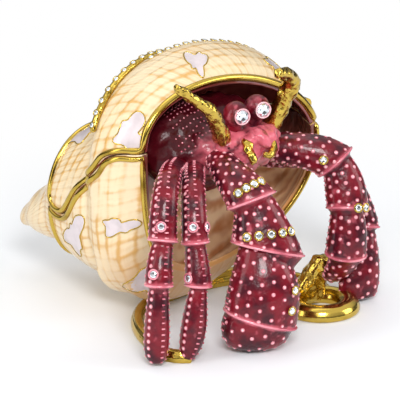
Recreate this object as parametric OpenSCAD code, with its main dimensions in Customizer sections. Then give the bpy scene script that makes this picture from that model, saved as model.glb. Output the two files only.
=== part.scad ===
// Hermit crab trinket box: an enamelled crab looks out of a hinged sea shell.
// X runs to the crab's left, Y from its claws to the tip of the shell, Z up.
// The origin lies on the ground under the middle of the whole box.

/* [Shell] */
// Length of the shell from its mouth to its tip
shell_l = 48; // [42:0.5:56]
// Greatest width of the shell
shell_w = 56; // [50:0.5:64]
// Height that the shell's places and heights are shares of
shell_h = 57; // [52:0.5:64]
// Thickness of the cast wall of the lid and the base
wall_t = 1.6; // [1.2:0.1:2]
// Depth of the groove between two turns of the shell
suture_d = 1.3; // [0.5:0.1:2.4]
// Gap between the lid and the base along the seam
seam_gap = 0.3; // [0.2:0.05:0.6]
// Radius of the gold rim on both edges of the seam
rim_r = 0.75; // [0.5:0.05:0.9]
// Radius of the gold cord that lies in the groove of the lid
cord_r = 0.9; // [0.6:0.05:1.2]

/* [Front wall] */
// Thickness of the wall that closes the compartment behind the crab
front_wall_t = 1.4; // [1:0.1:2]
// Clearance of the front wall in the base
front_wall_gap = 0.15; // [0.05:0.05:0.2]

/* [Hinge] */
// Radius of the hinge barrels
barrel_r = 1.5; // [1.3:0.1:1.8]
// Length of the hinge over all barrels
hinge_l = 9; // [7:0.5:10]
// Radius of the hinge pin
pin_r = 0.55; // [0.45:0.05:0.65]
// Radial clearance between the pin and the lid's barrel
pin_gap = 0.05; // [0.02:0.01:0.08]
// Gap between the ends of two barrels
barrel_gap = 0.2; // [0.1:0.05:0.3]
// Thickness of the leaves that carry the barrels
leaf_t = 1.3; // [1:0.1:1.6]
// Length of each leaf up or down the shell
leaf_l = 5; // [3:0.5:6]

/* [Crab] */
// Reach of the legs to the crab's right of the middle
crab_span = 40; // [36:0.5:46]
// Reach of the big claw in front of the mouth
crab_reach = 25; // [22:0.5:30]
// Height of the eyes above the ground
eye_rise = 50; // [46:0.5:56]
// Full width that the limbs' widths are shares of
limb_w = 6.4; // [5:0.2:7.4]
// Radius of an eye
eye_r = 2.9; // [2.4:0.1:3.4]

/* [Stones] */
// Radius of the stones set in the eyes
eye_stone_r = 1.65; // [1.2:0.05:1.9]
// Radius of the stones set in the claws, the legs and the lid
stone_r = 0.95; // [0.7:0.05:1.1]

/* [Foot] */
// Width of the gold bar that the box stands on
bar_w = 3.2; // [2.6:0.1:4]
// Height of that bar
bar_h = 2.6; // [2.2:0.1:3]
// Radius of the loop under the left claw, to the middle of its bar
loop_r = 6.3; // [5.8:0.1:7]
// Width of the bar in that loop
loop_bar_w = 5.2; // [4.4:0.1:5.6]
// Height of the bar in that loop
loop_bar_h = 3.4; // [3:0.1:3.8]

/* [Hidden] */

// Colours of the finishes
cream = [0.93, 0.83, 0.60];
tan = [0.62, 0.40, 0.20];
maroon = [0.45, 0.09, 0.16];
gold = [0.80, 0.62, 0.20];
steel = [0.62, 0.63, 0.65];
crystal = [0.88, 0.93, 0.95];

// Overrun of every cut
cut = 0.5 * wall_t;
// Points on half of a shell section, and on a limb's section
half_points = 27;
limb_points = 12;

// Sections of the shell in planes across Y, as shares of shell_l, shell_w and shell_h:
// place along Y, middle in X and Z, half width to the right and left of it,
// height above and below it, slope of its middle line, sideways lean of its lower half.
// First the body whorl behind the mouth, then the spire that it winds down to
body_whorl_shares = [
    [0.00, -0.05, 0.68, 0.46, 0.46, 0.27, 0.50, 0.070, 0.20],
    [0.04, -0.06, 0.67, 0.48, 0.49, 0.31, 0.56, 0.050, 0.21],
    [0.10, -0.07, 0.65, 0.51, 0.52, 0.36, 0.61, 0.035, 0.22],
    [0.20, -0.08, 0.64, 0.56, 0.53, 0.39, 0.59, 0.020, 0.22],
    [0.30, -0.09, 0.63, 0.57, 0.53, 0.405, 0.58, 0.000, 0.23],
    [0.42, -0.12, 0.59, 0.57, 0.465, 0.375, 0.52, 0.000, 0.22],
    [0.50, -0.14, 0.56, 0.54, 0.44, 0.345, 0.48, 0.000, 0.20],
    [0.65, -0.18, 0.51, 0.44, 0.385, 0.29, 0.42, 0.000, 0.18]
];
spire_shares = [
    [0.20, -0.22, 0.46, 0.36, 0.37, 0.30, 0.38, 0.000, 0.08],
    [0.35, -0.24, 0.45, 0.34, 0.35, 0.30, 0.37, 0.000, 0.07],
    [0.50, -0.28, 0.43, 0.29, 0.29, 0.295, 0.33, 0.000, 0.06],
    [0.58, -0.30, 0.42, 0.27, 0.265, 0.28, 0.30, 0.000, 0.05],
    [0.65, -0.32, 0.41, 0.24, 0.23, 0.25, 0.27, 0.000, 0.04],
    [0.71, -0.36, 0.36, 0.18, 0.18, 0.20, 0.20, 0.000, 0.02],
    [0.79, -0.40, 0.30, 0.13, 0.12, 0.13, 0.13, 0.000, 0.00],
    [0.88, -0.42, 0.27, 0.10, 0.09, 0.10, 0.09, 0.000, 0.00],
    [0.94, -0.43, 0.25, 0.06, 0.06, 0.06, 0.06, 0.000, 0.00],
    [0.98, -0.44, 0.23, 0.04, 0.04, 0.04, 0.04, 0.000, 0.00],
    [1.00, -0.44, 0.22, 0.01, 0.01, 0.01, 0.01, 0.000, 0.00]
];
// The seam: share of the shell's length, and its height on the right and on the left
// as shares of the shell's height
seam_shares = [
    [0.00, 0.665, 0.730], [0.08, 0.665, 0.728], [0.13, 0.665, 0.710], [0.17, 0.665, 0.685],
    [0.21, 0.665, 0.635], [0.29, 0.665, 0.580], [0.36, 0.660, 0.530], [0.42, 0.640, 0.470],
    [0.47, 0.600, 0.410], [0.52, 0.540, 0.370], [0.60, 0.440, 0.370], [0.65, 0.400, 0.400]
];
// Share of the length at which the lid ends
lid_end_share = 0.65;
// Where the lid's and the base's sections lie, as shares of the lid's length
patch_shares = [
    0, 0.03, 0.07, 0.12, 0.17, 0.23, 0.29, 0.36, 0.43, 0.50, 0.57, 0.64, 0.71, 0.78,
    0.84, 0.90, 0.95, 1
];
// Where the sections of the solid tip lie, as shares of its own length
tip_shares = [0, 0.06, 0.14, 0.22, 0.30, 0.38, 0.47, 0.57, 0.67, 0.76, 0.84, 0.91, 0.96, 1];
// The grooves: share of the length, its swing from side to side and from top to bottom,
// width as a share of the length and depth as a share of the groove's depth, and how far
// behind the edge of the whorl it lies
suture_shares = [
    [0.42, 0.14, 0.03, 0.030, 1.0, 0.03], [0.75, 0.03, 0.01, 0.025, 0.6, 0], [0.92, 0.01, 0, 0.02, 0.35, 0]
];
// Share of the length over which the body whorl falls to the spire at the first groove
fall_share = 0.10;

lid_end = lid_end_share * shell_l;
tip_start = lid_end + seam_gap;

// Place of the hinge: its axis runs along Y beside the right seam
hinge_x = 0.51 * shell_w;
hinge_z = 0.67 * shell_h;
hinge_y = 0.30 * shell_l;

// Middle of the whole box over the ground: from the hinge to the rear leg's stones,
// and from the big claw to the tip of the shell
leg_out_share = 1.083;
claw_out_share = 1.3653;
middle_x = (hinge_x + barrel_r - leg_out_share * crab_span) / 2;
middle_y = (shell_l - claw_out_share * crab_reach) / 2;
module placed() {
    translate([-middle_x, -middle_y, 0])
    children();
}

// Smooth curve through rows of numbers whose first one is the place along the curve
function slope(rows, i) =
    let (lo = max(i - 1, 0), hi = min(i + 1, len(rows) - 1))
    (rows[hi] - rows[lo]) / (rows[hi][0] - rows[lo][0]);
function interval(rows, s) =
    max([0, for (i = [0:len(rows) - 2]) if (rows[i][0] <= s) i]);
function row_at(rows, s) =
    let (
        i = interval(rows, s),
        d = rows[i + 1][0] - rows[i][0],
        t = (s - rows[i][0]) / d,
        m0 = slope(rows, i) * d,
        m1 = slope(rows, i + 1) * d
    )
    (2*t*t*t - 3*t*t + 1) * rows[i] + (t*t*t - 2*t*t + t) * m0
    + (3*t*t - 2*t*t*t) * rows[i + 1] + (t*t*t - t*t) * m1;

// Depth of the grooves at a share s of the length and an angle a
function suture_at(a, g) = g[0] + g[1] * cos(a) + g[2] * sin(a);
function groove(s, a) =
    suture_d * max([for (g = suture_shares)
        g[4] * exp(-pow((s - suture_at(a, g) - g[5]) / g[3], 2))]);

// Sections at share s, the two blended at angle a across the first groove
function smooth_step(t) = let (u = min(max(t, 0), 1)) u * u * (3 - 2 * u);
function sections(s) = [
    row_at(body_whorl_shares, min(s, lid_end_share)),
    row_at(spire_shares, max(s, spire_shares[0][0]))
];
function section_at(s, a, two) =
    let (w = smooth_step((s - suture_at(a, suture_shares[0])) / fall_share + 0.5))
    (1 - w) * two[0] + w * two[1];

// A point of the shell's surface at share s of its length and angle a, set in by a depth
function shell_point(s, a, depth = 0) = section_point(s, a, sections(s), depth);
function section_point(s, a, two, depth = 0) =
    let (
        r = section_at(s, a, two),
        c = cos(a),
        v = sin(a),
        w = (c > 0 ? r[3] : r[4]) * shell_w,
        h = (v > 0 ? r[5] : r[6]) * shell_h,
        in = min(depth + groove(s, a), 0.9 * min(w, h))
    )
    [
        r[1] * shell_w + (w - in) * c - (v < 0 ? r[8] * shell_w * v * v * (1 - in / h) : 0),
        s * shell_l,
        r[2] * shell_h + (h - in) * v - r[7] * shell_h * c
    ];
function outward(s, a) =
    let (p = shell_point(s, a), q = shell_point(s, a, wall_t), d = p - q)
    d / norm(d);

// Angle between a and b at which the section at share s reaches the height z
function angle_at(s, z, a, b, two, left) =
    let (m = (a + b) / 2)
    left == 0 ? m
        : section_point(s, m, two)[2] > z ? angle_at(s, z, m, b, two, left - 1)
        : angle_at(s, z, a, m, two, left - 1);
halvings = 14;
function seam_right(s) =
    angle_at(s, row_at(seam_shares, s)[1] * shell_h, 70, -60, sections(s), halvings);
function seam_left(s) =
    angle_at(s, row_at(seam_shares, s)[2] * shell_h, 120, 245, sections(s), halvings);
// Angle by which an edge lies off the seam, so that it is width away from it
probe = 0.01;
function seam_slope(s, column) =
    (row_at(seam_shares, s + probe)[column] - row_at(seam_shares, s - probe)[column])
    / (2 * probe) * shell_h / shell_l;
function degree_length(s, a) = norm(shell_point(s, a + 1) - shell_point(s, a - 1)) / 2;
function shift_right(s, a, width) = width * sqrt(1 + pow(seam_slope(s, 1), 2)) / degree_length(s, a);
function shift_left(s, a, width) = width * sqrt(1 + pow(seam_slope(s, 2), 2)) / degree_length(s, a);
function lid_right(s, width) = let (a = seam_right(s)) a + shift_right(s, a, width);
function lid_left(s, width) = let (a = seam_left(s)) a - shift_left(s, a, width);
function base_right(s, width) = let (a = seam_right(s)) a + 360 - shift_right(s, a, width);
function base_left(s, width) = let (a = seam_left(s)) a + shift_left(s, a, width);

function steps(a, b, n) = [for (i = [0:n - 1]) a + (b - a) * i / (n - 1)];
function reversed(list) = [for (i = [len(list) - 1:-1:0]) list[i]];
function unit(v) = v / norm(v);

// A wall section in one plane: out along the outer side and back along the inner one
function wall_ring(s, a, b) =
    let (two = sections(s))
    concat(
        [for (t = steps(a, b, half_points)) section_point(s, t, two)],
        [for (t = steps(b, a, half_points)) section_point(s, t, two, wall_t)]
    );
// A full section with the same number of points
function full_ring(s, a, b) =
    let (two = sections(s), d = 180 / half_points)
    concat(
        [for (t = steps(a, b, half_points)) section_point(s, t, two)],
        [for (t = steps(b + d, a + 360 - d, half_points)) section_point(s, t, two)]
    );

// Faces between rings of n points
function side_faces(n, rows, closed = false) =
    [for (i = [0:rows - (closed ? 1 : 2)], j = [0:n - 1])
        let (k = (i + 1) % rows, l = (j + 1) % n)
        each [[i*n + j, k*n + j, k*n + l], [i*n + j, k*n + l, i*n + l]]];
// Face on a ring of n points, or for a wall ring one face between each two pairs of points
function end_faces(n, first, wall) =
    wall ? [for (j = [0:n / 2 - 2]) [first + j, first + j + 1, first + n - 2 - j, first + n - 1 - j]]
         : [[for (j = [0:n - 1]) first + j]];
// A solid through rings that run about the way from the first ring to the last
module skin(rings, wall_first = false, wall_last = false) {
    n = len(rings[0]);
    m = len(rings);
    polyhedron(
        points = [for (r = rings) each r],
        faces = concat(
            end_faces(n, 0, wall_first),
            side_faces(n, m),
            [for (q = end_faces(n, (m - 1) * n, wall_last)) reversed(q)]
        )
    );
}
// The same for a ring of sections that meets its own start
module loop_skin(rings) {
    n = len(rings[0]);
    polyhedron(points = [for (r = rings) each r], faces = side_faces(n, len(rings), true));
}

// A round section of n points about the direction t, wide along side
function section_ring(p, t, side, a, b, n, slant = 0) =
    let (s = unit(side - (side * t) * t), u = cross(t, s))
    [for (i = [0:n - 1]) p + a * cos(360 * i / n) * (s + slant * t) + b * sin(360 * i / n) * u];

// The way a path runs at its point i
function heading(path, i, closed = false) =
    let (
        n = len(path),
        lo = closed ? (i + n - 1) % n : max(i - 1, 0),
        hi = closed ? (i + 1) % n : min(i + 1, n - 1)
    )
    unit(path[hi] - path[lo]);

// Lower shell: a trough under the seam that runs on as the closed tip
module lower_shell() {
    color(cream)
    placed()
    skin(concat(
        [for (t = reversed(tip_shares))
            let (s = (tip_start + (shell_l - tip_start) * t) / shell_l)
            full_ring(s, seam_left(lid_end_share), seam_right(lid_end_share) + 360)],
        [for (t = reversed(patch_shares))
            let (s = t * lid_end_share)
            wall_ring(s, base_left(s, seam_gap / 2), base_right(s, seam_gap / 2))]
    ), wall_last = true);
}

// Lid: the upper part of the same shell, from the mouth to the end face
module shell_lid() {
    color(cream)
    placed()
    skin([for (t = reversed(patch_shares))
        let (s = t * lid_end_share)
        wall_ring(s, lid_right(s, seam_gap / 2), lid_left(s, seam_gap / 2))],
        wall_first = true, wall_last = true);
}

// Places of a rim around one half, each with a share of the length and an angle
rim_steps = 21;
rim_corner_share = rim_r / shell_l;
rim_away = seam_gap / 2 + rim_r;
function rim_right(s, lid) = lid ? lid_right(s, rim_away) : base_right(s, rim_away);
function rim_left(s, lid) = lid ? lid_left(s, rim_away) : base_left(s, rim_away);
// Angles at which the base's rim ends, low on both sides of the mouth
mouth_low_left_angle = 233;
mouth_low_right_angle = 318;
function rim_run(a, b) = [for (i = [0:rim_steps - 1]) a + (b - a) * i / rim_steps];
function rim_path(lid) =
    let (
        back = lid_end_share - rim_corner_share,
        mouth_left = rim_left(0, lid),
        mouth_right = rim_right(0, lid)
    )
    [
        for (a = rim_run(lid ? mouth_right : mouth_low_left_angle, mouth_left)) [0, a],
        for (s = rim_run(0, back)) [s, rim_left(s, lid)],
        for (a = rim_run(rim_left(back, lid), rim_right(back, lid))) [back, a],
        for (s = rim_run(back, 0)) [s, rim_right(s, lid)],
        if (!lid)
            for (a = rim_run(mouth_right, mouth_low_right_angle)) [0, a]
    ];
// The lid's rim meets its own start, the base's is open under the mouth
module rim(lid) {
    places = rim_path(lid);
    path = [for (p = places) shell_point(p[0], p[1])];
    rings = [for (i = [0:len(path) - 1])
        section_ring(path[i], heading(path, i, lid), outward(places[i][0], places[i][1]), rim_r, rim_r, 8)];
    if (lid)
        loop_skin(rings);
    else
        skin(rings);
}
// The room that the hinge takes beside the shell
module hinge_room() {
    side = 2 * (barrel_r + leaf_l);
    translate([hinge_x - barrel_r - leaf_t, hinge_y - hinge_l / 2 - seam_gap, hinge_z - side / 2])
    cube([side, hinge_l + 2 * seam_gap, side]);
}
module lid_rim() {
    color(gold)
    placed()
    difference() {
        rim(true);
        hinge_room();
    }
}
module base_rim() {
    color(gold)
    placed()
    difference() {
        rim(false);
        hinge_room();
    }
}

// Gold cord on the edge of the body whorl, over the crab's right side and the top
cord_start_angle = 160;
cord_end_angle = 84;
cord_steps = 18;
function cord_share(a) = suture_at(a, suture_shares[0]) - 0.45 * fall_share;
module whorl_cord() {
    places = [for (a = steps(cord_start_angle, cord_end_angle, cord_steps)) [cord_share(a), a]];
    path = [for (p = places) shell_point(p[0], p[1]) + 0.3 * cord_r * outward(p[0], p[1])];
    color(gold)
    placed()
    skin([for (i = [0:len(path) - 1])
        section_ring(path[i], heading(path, i), outward(places[i][0], places[i][1]), cord_r, cord_r, 8)]);
}

// Wall that closes the compartment behind the crab, seated in the trough
front_wall_share = 0.20;
front_wall_start_angle = 190;
front_wall_end_angle = 352;
module front_wall() {
    back_share = front_wall_share + front_wall_t / shell_l;
    function wall_outline(s) =
        [for (t = steps(front_wall_start_angle, front_wall_end_angle, half_points))
            shell_point(s, t, wall_t + front_wall_gap)];
    color(tan)
    placed()
    skin([wall_outline(back_share), wall_outline(front_wall_share)]);
}

// Hinge: two barrels on the base, one on the lid, one pin
barrel_l = (hinge_l - 2 * barrel_gap) / 3;
module barrel(y, length, bore) {
    translate([hinge_x, y, hinge_z])
    rotate([-90, 0, 0])
    difference() {
        cylinder(h = length, r = barrel_r, $fn = 48);
        translate([0, 0, -cut])
        cylinder(h = length + 2 * cut, r = bore, $fn = 48);
    }
}
// A leaf that runs down or up the shell's side and reaches under the barrel
module leaf(y, length, up) {
    z0 = up ? hinge_z + barrel_r - 0.4 * leaf_t : hinge_z - barrel_r + 0.4 * leaf_t - leaf_l;
    difference() {
        union() {
            translate([hinge_x - barrel_r - leaf_t, y, z0])
            cube([leaf_t, length, leaf_l]);
            translate([hinge_x - barrel_r - leaf_t, y, up ? z0 : z0 + leaf_l - leaf_t])
            cube([barrel_r + leaf_t, length, leaf_t]);
        }
        translate([hinge_x, y - cut, hinge_z])
        rotate([-90, 0, 0])
        cylinder(h = length + 2 * cut, r = 0.9 * barrel_r, $fn = 48);
    }
}
module hinge_base() {
    ends = [hinge_y - hinge_l / 2, hinge_y + hinge_l / 2 - barrel_l];
    color(gold)
    placed()
    for (y = ends) {
        barrel(y, barrel_l, pin_r);
        leaf(y, barrel_l, false);
    }
}
module hinge_lid() {
    color(gold)
    placed()
    union() {
        barrel(hinge_y - barrel_l / 2, barrel_l, pin_r + pin_gap);
        leaf(hinge_y - barrel_l / 2, barrel_l, true);
    }
}
module hinge_pin() {
    color(steel)
    placed()
    translate([hinge_x, hinge_y - hinge_l / 2, hinge_z])
    rotate([-90, 0, 0])
    cylinder(h = hinge_l, r = pin_r, $fn = 48);
}

// Gold foot: a flat bar that runs from the right legs round under the shell to a loop.
// Its places: share of the bar's length, then shares of crab_span and crab_reach
bar_path_shares = [
    [0.00, -0.82, -0.88], [0.05, -0.89, -0.78], [0.10, -0.91, -0.62],
    [0.18, -0.86, -0.40], [0.27, -0.79, -0.12],
    [0.36, -0.67, 0.16], [0.45, -0.50, 0.36], [0.54, -0.30, 0.43], [0.63, -0.10, 0.44], [0.72, 0.12, 0.38],
    [0.80, 0.31, 0.22], [0.87, 0.41, 0.00], [0.94, 0.44, -0.24], [1.00, 0.41, -0.50]
];
bar_points = 45;
// Layers that round the bar: shares of its width and of its height
bar_layer_shares = [[1.00, 0.50], [0.84, 0.76], [0.56, 1.00]];
// Where the bar is thickened to meet the shell, and its height there as a share of bar_h
saddle_from_share = 0.46;
saddle_to_share = 0.76;
saddle_rise_share = 1.4;
saddle_w_share = 0.7;
saddle_foot_share = 0.6;
// Section of the loop's bar: shares of its width and of its height
loop_section_shares = [
    [-0.44, 0], [0.44, 0], [0.5, 0.14], [0.5, 0.4], [0.4, 0.72], [0.22, 0.94], [0, 1],
    [-0.22, 0.94], [-0.4, 0.72], [-0.5, 0.4], [-0.5, 0.14]
];
function bar_place(t) = let (q = row_at(bar_path_shares, t)) [q[1] * crab_span, q[2] * crab_reach];
module bar_strip(from, to, w, z, h) {
    path = [for (t = steps(from, to, bar_points)) bar_place(t)];
    across = [for (i = [0:bar_points - 1]) let (t = heading(path, i)) [-t[1], t[0]] * w / 2];
    translate([0, 0, z])
    linear_extrude(height = h)
    polygon(concat(
        [for (i = [0:bar_points - 1]) path[i] - across[i]],
        [for (i = [bar_points - 1:-1:0]) path[i] + across[i]]
    ));
}
loop_x = 0.25 * crab_span;
loop_y = -0.67 * crab_reach;
module foot_bar() {
    base_z = 0.2 * bar_h;
    color(gold)
    placed()
    union() {
        bar_strip(0, 1, bar_w, 0, bar_layer_shares[0][1] * bar_h);
        for (q = [bar_layer_shares[1], bar_layer_shares[2]])
            bar_strip(0.01, 0.99, q[0] * bar_w, base_z, q[1] * bar_h - base_z);
        bar_strip(saddle_from_share, saddle_to_share, saddle_w_share * bar_w,
            saddle_foot_share * bar_h, (saddle_rise_share - saddle_foot_share) * bar_h);
        translate([loop_x, loop_y, 0])
        rotate_extrude($fn = 96)
        polygon([for (q = loop_section_shares) [loop_r + q[0] * loop_bar_w, q[1] * loop_bar_h]]);
    }
}

// Rows of a limb: place as shares of crab_span, crab_reach and eye_rise, then
// half width and half thickness as shares of limb_w, and the slant of a lip
function limb_place(q) = [q[0] * crab_span, q[1] * crab_reach, q[2] * eye_rise];
function limb_slant(q) = len(q) > 5 ? q[5] : 0;
function limb_ring(rows, i, side, n = limb_points) =
    let (path = [for (q = rows) limb_place(q)])
    section_ring(path[i], limb_heading(rows, i), side, rows[i][3] * limb_w, rows[i][4] * limb_w, n,
        limb_slant(rows[i]));
// The heading skips a neighbour that lies at the step of a lip
function limb_heading(rows, i) =
    let (
        p = limb_place(rows[i]),
        lo = [for (j = [0:1:i - 1]) if (norm(limb_place(rows[j]) - p) > 0.15 * limb_w) j],
        hi = [for (j = [i + 1:1:len(rows) - 1]) if (norm(limb_place(rows[j]) - p) > 0.15 * limb_w) j],
        a = len(lo) == 0 ? p : limb_place(rows[lo[len(lo) - 1]]),
        b = len(hi) == 0 ? p : limb_place(rows[hi[0]])
    )
    unit(b - a);
module limb(rows, side) {
    skin([for (i = [0:len(rows) - 1]) limb_ring(rows, i, side)]);
}

right_rear_side = [0.9, -0.4, 0];
right_rear_shares = [
    [-0.40, 0.04, 0.72, 0.38, 0.38], [-0.54, -0.14, 0.755, 0.42, 0.42], [-0.69, -0.34, 0.785, 0.44, 0.42],
    [-0.79, -0.48, 0.765, 0.46, 0.44], [-0.85, -0.56, 0.69, 0.48, 0.46], [-0.88, -0.60, 0.61, 0.51, 0.47],
    [-0.89, -0.62, 0.545, 0.53, 0.49], [-0.89, -0.62, 0.53, 0.37, 0.36], [-0.93, -0.66, 0.48, 0.44, 0.42],
    [-0.96, -0.70, 0.41, 0.50, 0.46], [-0.97, -0.72, 0.365, 0.50, 0.46], [-0.97, -0.72, 0.35, 0.36, 0.35],
    [-0.99, -0.74, 0.27, 0.41, 0.39], [-1.00, -0.75, 0.18, 0.46, 0.43], [-1.01, -0.76, 0.09, 0.47, 0.42],
    [-1.01, -0.76, 0.04, 0.40, 0.36], [-1.00, -0.76, 0.012, 0.24, 0.22]
];
module right_rear_leg() {
    color(maroon)
    placed()
    limb(right_rear_shares, right_rear_side);
}
right_front_side = [0.9, -0.4, 0];
right_front_shares = [
    [-0.30, 0.02, 0.70, 0.36, 0.36], [-0.41, -0.14, 0.725, 0.40, 0.40], [-0.53, -0.36, 0.755, 0.42, 0.40],
    [-0.63, -0.54, 0.745, 0.43, 0.42], [-0.69, -0.66, 0.67, 0.45, 0.44], [-0.72, -0.73, 0.59, 0.47, 0.46],
    [-0.73, -0.76, 0.525, 0.49, 0.47], [-0.73, -0.76, 0.51, 0.37, 0.36], [-0.74, -0.80, 0.45, 0.43, 0.41],
    [-0.755, -0.85, 0.38, 0.47, 0.44], [-0.76, -0.86, 0.345, 0.48, 0.44], [-0.76, -0.86, 0.33, 0.30, 0.32],
    [-0.78, -0.87, 0.26, 0.40, 0.38], [-0.80, -0.88, 0.17, 0.47, 0.43], [-0.82, -0.88, 0.09, 0.45, 0.41],
    [-0.84, -0.88, 0.045, 0.34, 0.32], [-0.85, -0.88, 0.012, 0.18, 0.18]
];
module right_front_leg() {
    color(maroon)
    placed()
    limb(right_front_shares, right_front_side);
}
left_rear_side = [0.95, -0.3, 0];
left_rear_shares = [
    [0.14, 0.08, 0.66, 0.40, 0.40], [0.28, -0.02, 0.64, 0.40, 0.40], [0.42, -0.16, 0.64, 0.42, 0.40],
    [0.53, -0.30, 0.61, 0.46, 0.40], [0.58, -0.42, 0.55, 0.50, 0.42, -0.3],
    [0.60, -0.46, 0.525, 0.34, 0.32, -0.3],
    [0.615, -0.54, 0.45, 0.38, 0.36], [0.625, -0.61, 0.36, 0.42, 0.38], [0.625, -0.63, 0.325, 0.42, 0.38],
    [0.62, -0.63, 0.31, 0.28, 0.28], [0.59, -0.66, 0.25, 0.50, 0.36], [0.55, -0.69, 0.18, 0.70, 0.40],
    [0.52, -0.71, 0.11, 0.80, 0.42], [0.50, -0.72, 0.055, 0.80, 0.40], [0.50, -0.72, 0.012, 0.66, 0.30]
];
module left_rear_leg() {
    color(maroon)
    placed()
    limb(left_rear_shares, left_rear_side);
}
big_claw_side = [0.85, -0.5, 0.1];
big_claw_shares = [
    [-0.30, -0.20, 0.79, 0.46, 0.44], [-0.34, -0.34, 0.79, 0.50, 0.48], [-0.37, -0.50, 0.77, 0.60, 0.56],
    [-0.38, -0.66, 0.735, 0.74, 0.62], [-0.37, -0.78, 0.69, 0.86, 0.66, 0.1],
    [-0.36, -0.83, 0.665, 0.92, 0.68, 0.1],
    [-0.355, -0.84, 0.65, 0.76, 0.58], [-0.345, -0.89, 0.59, 0.94, 0.66],
    [-0.34, -0.95, 0.52, 1.12, 0.72, 0.2],
    [-0.33, -1.00, 0.455, 1.22, 0.78, 0.5], [-0.33, -1.00, 0.435, 0.98, 0.66, 0.5],
    [-0.36, -1.04, 0.38, 1.14, 0.76, 0.25],
    [-0.39, -1.07, 0.30, 1.30, 0.84], [-0.41, -1.08, 0.22, 1.38, 0.88], [-0.42, -1.07, 0.15, 1.38, 0.88],
    [-0.43, -1.06, 0.135, 1.30, 0.81], [-0.46, -1.04, 0.08, 1.28, 0.78], [-0.46, -1.01, 0.035, 1.02, 0.62],
    [-0.46, -1.01, 0.012, 0.64, 0.38]
];
module big_claw() {
    color(maroon)
    placed()
    limb(big_claw_shares, big_claw_side);
}
left_claw_side = [0.8, -0.55, 0.2];
left_claw_shares = [
    [0.06, -0.14, 0.75, 0.50, 0.46], [0.14, -0.28, 0.75, 0.58, 0.52], [0.24, -0.44, 0.74, 0.66, 0.58],
    [0.32, -0.56, 0.72, 0.74, 0.62], [0.37, -0.63, 0.685, 0.80, 0.62], [0.375, -0.645, 0.67, 0.62, 0.50],
    [0.39, -0.70, 0.62, 0.72, 0.54], [0.385, -0.76, 0.55, 0.78, 0.56], [0.37, -0.80, 0.49, 0.76, 0.54],
    [0.365, -0.80, 0.47, 0.60, 0.44], [0.36, -0.83, 0.41, 0.70, 0.50], [0.34, -0.85, 0.34, 0.76, 0.54],
    [0.335, -0.85, 0.28, 0.76, 0.52], [0.335, -0.84, 0.265, 0.60, 0.42], [0.345, -0.79, 0.22, 0.60, 0.40],
    [0.34, -0.70, 0.17, 0.50, 0.36], [0.33, -0.61, 0.13, 0.30, 0.24]
];
module left_claw() {
    color(maroon)
    placed()
    limb(left_claw_shares, left_claw_side);
}

// Gold post that carries the tip of the left claw on the loop of the foot
post_shares = [
    [0.265, -0.45, 0.03, 0.60, 0.50], [0.275, -0.475, 0.08, 0.54, 0.46], [0.285, -0.51, 0.14, 0.46, 0.42],
    [0.30, -0.56, 0.20, 0.36, 0.36], [0.31, -0.60, 0.24, 0.24, 0.26]
];
module claw_post() {
    color(gold)
    placed()
    limb(post_shares, left_claw_side);
}

// Body of the crab: sections across Y from the front wall to the face, as shares of
// crab_reach, crab_span and eye_rise: place, middle, half width, height above and below
body_shares = [
    [0.37, -0.19, 0.76, 0.42, 0.19, 0.13], [0.30, -0.19, 0.77, 0.44, 0.215, 0.16],
    [0.16, -0.20, 0.78, 0.44, 0.225, 0.20], [0.04, -0.21, 0.78, 0.43, 0.215, 0.20],
    [-0.06, -0.20, 0.785, 0.39, 0.165, 0.185], [-0.18, -0.17, 0.79, 0.33, 0.13, 0.15],
    [-0.32, -0.15, 0.81, 0.27, 0.11, 0.13], [-0.44, -0.14, 0.83, 0.21, 0.08, 0.11],
    [-0.52, -0.13, 0.84, 0.13, 0.06, 0.07], [-0.55, -0.13, 0.845, 0.05, 0.03, 0.03]
];
body_points = 24;
module crab_body() {
    color(maroon)
    placed()
    skin([for (q = body_shares)
        [for (a = [0:360 / body_points:359])
            [
                (q[1] + q[3] * cos(a)) * crab_span,
                q[0] * crab_reach,
                (q[2] + (sin(a) > 0 ? q[4] : q[5]) * sin(a)) * eye_rise
            ]]]);
}
snout_shares = [
    [-0.13, -0.46, 0.875, 0.42, 0.40], [-0.13, -0.53, 0.88, 0.34, 0.34], [-0.12, -0.57, 0.87, 0.24, 0.24],
    [-0.10, -0.60, 0.84, 0.10, 0.10]
];
module snout() {
    color(maroon)
    placed()
    limb(snout_shares, [1, 0, 0]);
}

// Eyes: balls on the head that look out along their stones
eye_right_place = limb_place([-0.225, -0.36, 0.985]);
eye_left_place = limb_place([-0.06, -0.34, 0.985]);
eye_look = unit([-0.25, -0.95, 0.1]);
module facing(p, d) {
    translate(p)
    rotate([0, acos(d[2]), atan2(d[1], d[0])])
    children();
}
module eye(p) {
    color(maroon)
    placed()
    difference() {
        union() {
            translate(p)
            sphere(r = eye_r, $fn = 48);
            facing(p, [0, 0.3, -0.95] / norm([0, 0.3, -0.95]))
            cylinder(h = 2 * eye_r, r = 0.66 * eye_r, $fn = 48);
        }
        facing(p + (eye_r - 0.25 * eye_stone_r) * eye_look, eye_look)
        cylinder(h = eye_r, r = eye_stone_r + 0.02 * eye_stone_r, $fn = 48);
    }
}
module eye_right() {
    eye(eye_right_place);
}
module eye_left() {
    eye(eye_left_place);
}

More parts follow.
